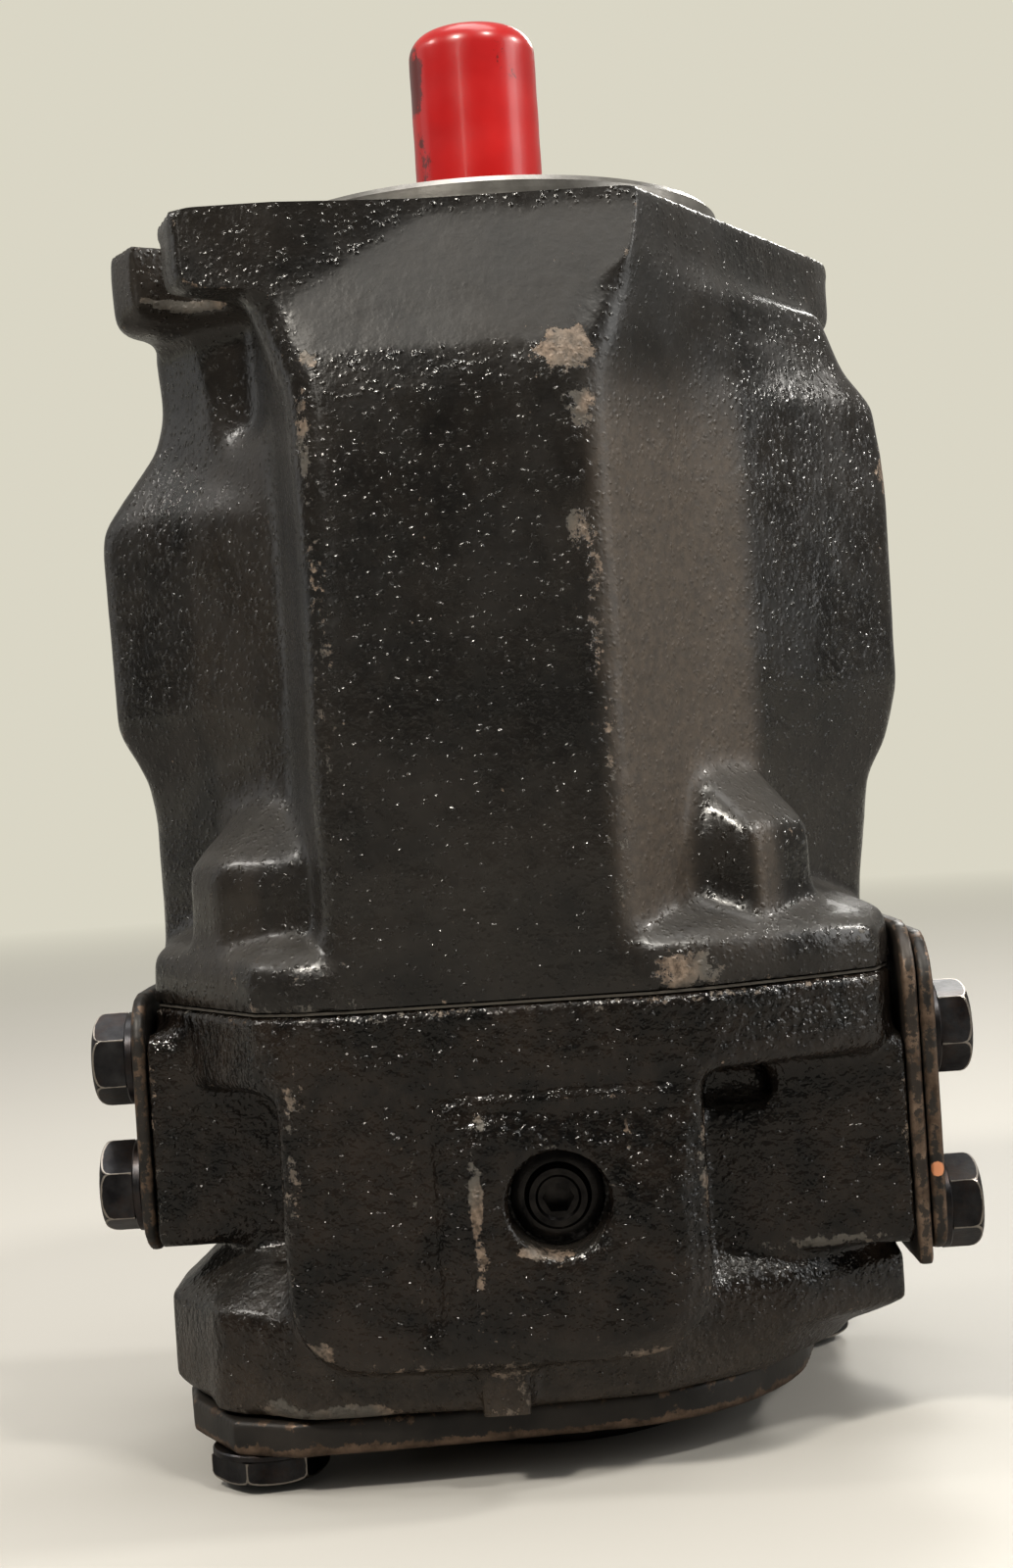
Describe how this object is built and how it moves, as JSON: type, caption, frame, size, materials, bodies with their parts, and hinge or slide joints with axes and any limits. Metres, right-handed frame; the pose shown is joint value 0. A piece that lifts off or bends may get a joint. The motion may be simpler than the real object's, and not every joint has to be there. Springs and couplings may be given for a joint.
{
  "type": "axial piston pump",
  "caption": "Variable swashplate axial piston pump with slotted two-bolt flange, blanked side ports, rear cover and capped splined shaft.",
  "frame": {"origin": "on the shaft axis, in the plane of the rear cover's centre boss that the pump stands on", "axes": "+Z along the shaft towards its driven end, -Y towards the flat front panel with the plugged port, +X towards the suction port"},
  "size_m": [0.1791, 0.1448, 0.3006],
  "materials": {
    "cast_paint": "gloss black paint over sand-cast iron",
    "gasket": "pressed fibre",
    "dark_plate": "worn black oxide",
    "bare_plate": "bare, lightly rusted",
    "screw_steel": "black oxide",
    "machined_steel": "ground and oiled",
    "spring_steel": "shot peened",
    "bronze": "machined",
    "seal_rubber": "oiled",
    "red_vinyl": "dipped, glossy"
  },
  "bodies": {
    "casing": {"pump_housing": "cast_paint", "port_block": "cast_paint", "housing_gasket": "gasket", "shaft_seal": "seal_rubber", "seal_retaining_ring": "machined_steel", "front_bearing_outer_ring": "machined_steel", "rear_bearing_outer_ring": "machined_steel", "valve_plate": "bronze", "cradle_bearing_left": "bronze", "cradle_bearing_right": "bronze", "control_guide": "machined_steel", "bias_guide": "machined_steel", "bias_spring": "spring_steel", "pressure_port_cover": "dark_plate", "suction_port_spacer": "bare_plate", "suction_port_cover": "dark_plate", "through_drive_cover": "dark_plate", "port_plug": "screw_steel", "pressure_screw_front_low": "screw_steel", "pressure_screw_front_high": "screw_steel", "pressure_screw_back_low": "screw_steel", "pressure_screw_back_high": "screw_steel", "suction_screw_front_low": "screw_steel", "suction_screw_front_high": "screw_steel", "suction_screw_back_low": "screw_steel", "suction_screw_back_high": "screw_steel", "cover_screw_front": "screw_steel", "cover_screw_back": "screw_steel"},
    "shaft": {"drive_shaft": "machined_steel", "front_bearing_inner_ring": "machined_steel", "rear_bearing_inner_ring": "machined_steel", "cylinder_block": "machined_steel", "block_spring": "spring_steel", "ball_guide": "machined_steel"},
    "cap": {"shaft_cap": "red_vinyl"},
    "front_rollers": {"front_bearing_rollers": "machined_steel"},
    "rear_rollers": {"rear_bearing_rollers": "machined_steel"},
    "swash": {"swashplate": "machined_steel"},
    "retainer": {"retainer_plate": "machined_steel"},
    "control": {"control_piston": "machined_steel"},
    "bias": {"bias_piston": "machined_steel"},
    "slipper_1": {"slipper_1": "bronze"},
    "piston_1": {"piston_1": "machined_steel"},
    "slipper_2": {"slipper_2": "bronze"},
    "piston_2": {"piston_2": "machined_steel"},
    "slipper_3": {"slipper_3": "bronze"},
    "piston_3": {"piston_3": "machined_steel"},
    "slipper_4": {"slipper_4": "bronze"},
    "piston_4": {"piston_4": "machined_steel"},
    "slipper_5": {"slipper_5": "bronze"},
    "piston_5": {"piston_5": "machined_steel"},
    "slipper_6": {"slipper_6": "bronze"},
    "piston_6": {"piston_6": "machined_steel"},
    "slipper_7": {"slipper_7": "bronze"},
    "piston_7": {"piston_7": "machined_steel"},
    "slipper_8": {"slipper_8": "bronze"},
    "piston_8": {"piston_8": "machined_steel"},
    "slipper_9": {"slipper_9": "bronze"},
    "piston_9": {"piston_9": "machined_steel"}
  },
  "joints": [
    {"name": "shaft_spin", "type": "hinge", "parent": "casing", "child": "shaft", "pos_m": [0, 0, 0.1833], "axis": [0, 0, 1], "continuous": true},
    {"name": "cap_pull", "type": "slide", "parent": "shaft", "child": "cap", "axis": [0, 0, 1], "range_m": [0, 0.06]},
    {"name": "swash_tilt", "type": "hinge", "parent": "casing", "child": "swash", "pos_m": [0, 0, 0.1833], "axis": [1, 0, 0], "range_deg": [-15, 0], "stiffness_Nm_per_rad": 20},
    {"name": "front_roller_spin", "type": "hinge", "parent": "casing", "child": "front_rollers", "pos_m": [0, 0, 0.228], "axis": [0, 0, 1], "continuous": true},
    {"name": "rear_roller_spin", "type": "hinge", "parent": "casing", "child": "rear_rollers", "pos_m": [0, 0, 0.083], "axis": [0, 0, 1], "continuous": true},
    {"name": "retainer_spin", "type": "hinge", "parent": "swash", "child": "retainer", "pos_m": [0, 0, 0.1833], "axis": [0, -0.2588, 0.9659], "continuous": true},
    {"name": "control_slide", "type": "slide", "parent": "casing", "child": "control", "axis": [0, 0, 1], "range_m": [0, 0.01452]},
    {"name": "bias_slide", "type": "slide", "parent": "casing", "child": "bias", "axis": [0, 0, 1], "range_m": [-0.01462, 0], "deforming": ["bias_spring"]},
    {"name": "slipper_1_turn", "type": "hinge", "parent": "retainer", "child": "slipper_1", "pos_m": [0.03154, 0, 0.1833], "axis": [0, -0.2588, 0.9659], "continuous": true},
    {"name": "piston_1_swivel", "type": "hinge", "parent": "slipper_1", "child": "piston_1", "pos_m": [0.03154, 0, 0.1833], "axis": [1, 0, 0], "range_deg": [0, 15]},
    {"name": "slipper_2_turn", "type": "hinge", "parent": "retainer", "child": "slipper_2", "pos_m": [0.02416, 0.01958, 0.18855], "axis": [0, -0.2588, 0.9659], "continuous": true},
    {"name": "piston_2_swivel", "type": "hinge", "parent": "slipper_2", "child": "piston_2", "pos_m": [0.02416, 0.01958, 0.18855], "axis": [1, 0, 0], "range_deg": [0, 15]},
    {"name": "slipper_3_turn", "type": "hinge", "parent": "retainer", "child": "slipper_3", "pos_m": [0.00548, 0.03, 0.19134], "axis": [0, -0.2588, 0.9659], "continuous": true},
    {"name": "piston_3_swivel", "type": "hinge", "parent": "slipper_3", "child": "piston_3", "pos_m": [0.00548, 0.03, 0.19134], "axis": [1, 0, 0], "range_deg": [0, 15]},
    {"name": "slipper_4_turn", "type": "hinge", "parent": "retainer", "child": "slipper_4", "pos_m": [-0.01577, 0.02638, 0.19037], "axis": [0, -0.2588, 0.9659], "continuous": true},
    {"name": "piston_4_swivel", "type": "hinge", "parent": "slipper_4", "child": "piston_4", "pos_m": [-0.01577, 0.02638, 0.19037], "axis": [1, 0, 0], "range_deg": [0, 15]},
    {"name": "slipper_5_turn", "type": "hinge", "parent": "retainer", "child": "slipper_5", "pos_m": [-0.02964, 0.01042, 0.18609], "axis": [0, -0.2588, 0.9659], "continuous": true},
    {"name": "piston_5_swivel", "type": "hinge", "parent": "slipper_5", "child": "piston_5", "pos_m": [-0.02964, 0.01042, 0.18609], "axis": [1, 0, 0], "range_deg": [0, 15]},
    {"name": "slipper_6_turn", "type": "hinge", "parent": "retainer", "child": "slipper_6", "pos_m": [-0.02964, -0.01042, 0.18051], "axis": [0, -0.2588, 0.9659], "continuous": true},
    {"name": "piston_6_swivel", "type": "hinge", "parent": "slipper_6", "child": "piston_6", "pos_m": [-0.02964, -0.01042, 0.18051], "axis": [1, 0, 0], "range_deg": [0, 15]},
    {"name": "slipper_7_turn", "type": "hinge", "parent": "retainer", "child": "slipper_7", "pos_m": [-0.01577, -0.02638, 0.17623], "axis": [0, -0.2588, 0.9659], "continuous": true},
    {"name": "piston_7_swivel", "type": "hinge", "parent": "slipper_7", "child": "piston_7", "pos_m": [-0.01577, -0.02638, 0.17623], "axis": [1, 0, 0], "range_deg": [0, 15]},
    {"name": "slipper_8_turn", "type": "hinge", "parent": "retainer", "child": "slipper_8", "pos_m": [0.00548, -0.03, 0.17526], "axis": [0, -0.2588, 0.9659], "continuous": true},
    {"name": "piston_8_swivel", "type": "hinge", "parent": "slipper_8", "child": "piston_8", "pos_m": [0.00548, -0.03, 0.17526], "axis": [1, 0, 0], "range_deg": [0, 15]},
    {"name": "slipper_9_turn", "type": "hinge", "parent": "retainer", "child": "slipper_9", "pos_m": [0.02416, -0.01958, 0.17805], "axis": [0, -0.2588, 0.9659], "continuous": true},
    {"name": "piston_9_swivel", "type": "hinge", "parent": "slipper_9", "child": "piston_9", "pos_m": [0.02416, -0.01958, 0.17805], "axis": [1, 0, 0], "range_deg": [0, 15]}
  ],
  "couplings": [
    {"joint": "retainer_spin", "follows": "shaft_spin", "ratio": 1},
    {"joint": "front_roller_spin", "follows": "shaft_spin", "ratio": 0.44},
    {"joint": "rear_roller_spin", "follows": "shaft_spin", "ratio": 0.42},
    {"joint": "control_slide", "follows": "swash_tilt", "m_per_rad": -0.05508},
    {"joint": "bias_slide", "follows": "swash_tilt", "m_per_rad": 0.055457},
    {"joint": "slipper_1_turn", "follows": "shaft_spin", "ratio": -1},
    {"joint": "piston_1_swivel", "follows": "swash_tilt", "ratio": -1},
    {"joint": "slipper_2_turn", "follows": "shaft_spin", "ratio": -1},
    {"joint": "piston_2_swivel", "follows": "swash_tilt", "ratio": -1},
    {"joint": "slipper_3_turn", "follows": "shaft_spin", "ratio": -1},
    {"joint": "piston_3_swivel", "follows": "swash_tilt", "ratio": -1},
    {"joint": "slipper_4_turn", "follows": "shaft_spin", "ratio": -1},
    {"joint": "piston_4_swivel", "follows": "swash_tilt", "ratio": -1},
    {"joint": "slipper_5_turn", "follows": "shaft_spin", "ratio": -1},
    {"joint": "piston_5_swivel", "follows": "swash_tilt", "ratio": -1},
    {"joint": "slipper_6_turn", "follows": "shaft_spin", "ratio": -1},
    {"joint": "piston_6_swivel", "follows": "swash_tilt", "ratio": -1},
    {"joint": "slipper_7_turn", "follows": "shaft_spin", "ratio": -1},
    {"joint": "piston_7_swivel", "follows": "swash_tilt", "ratio": -1},
    {"joint": "slipper_8_turn", "follows": "shaft_spin", "ratio": -1},
    {"joint": "piston_8_swivel", "follows": "swash_tilt", "ratio": -1},
    {"joint": "slipper_9_turn", "follows": "shaft_spin", "ratio": -1},
    {"joint": "piston_9_swivel", "follows": "swash_tilt", "ratio": -1}
  ]
}
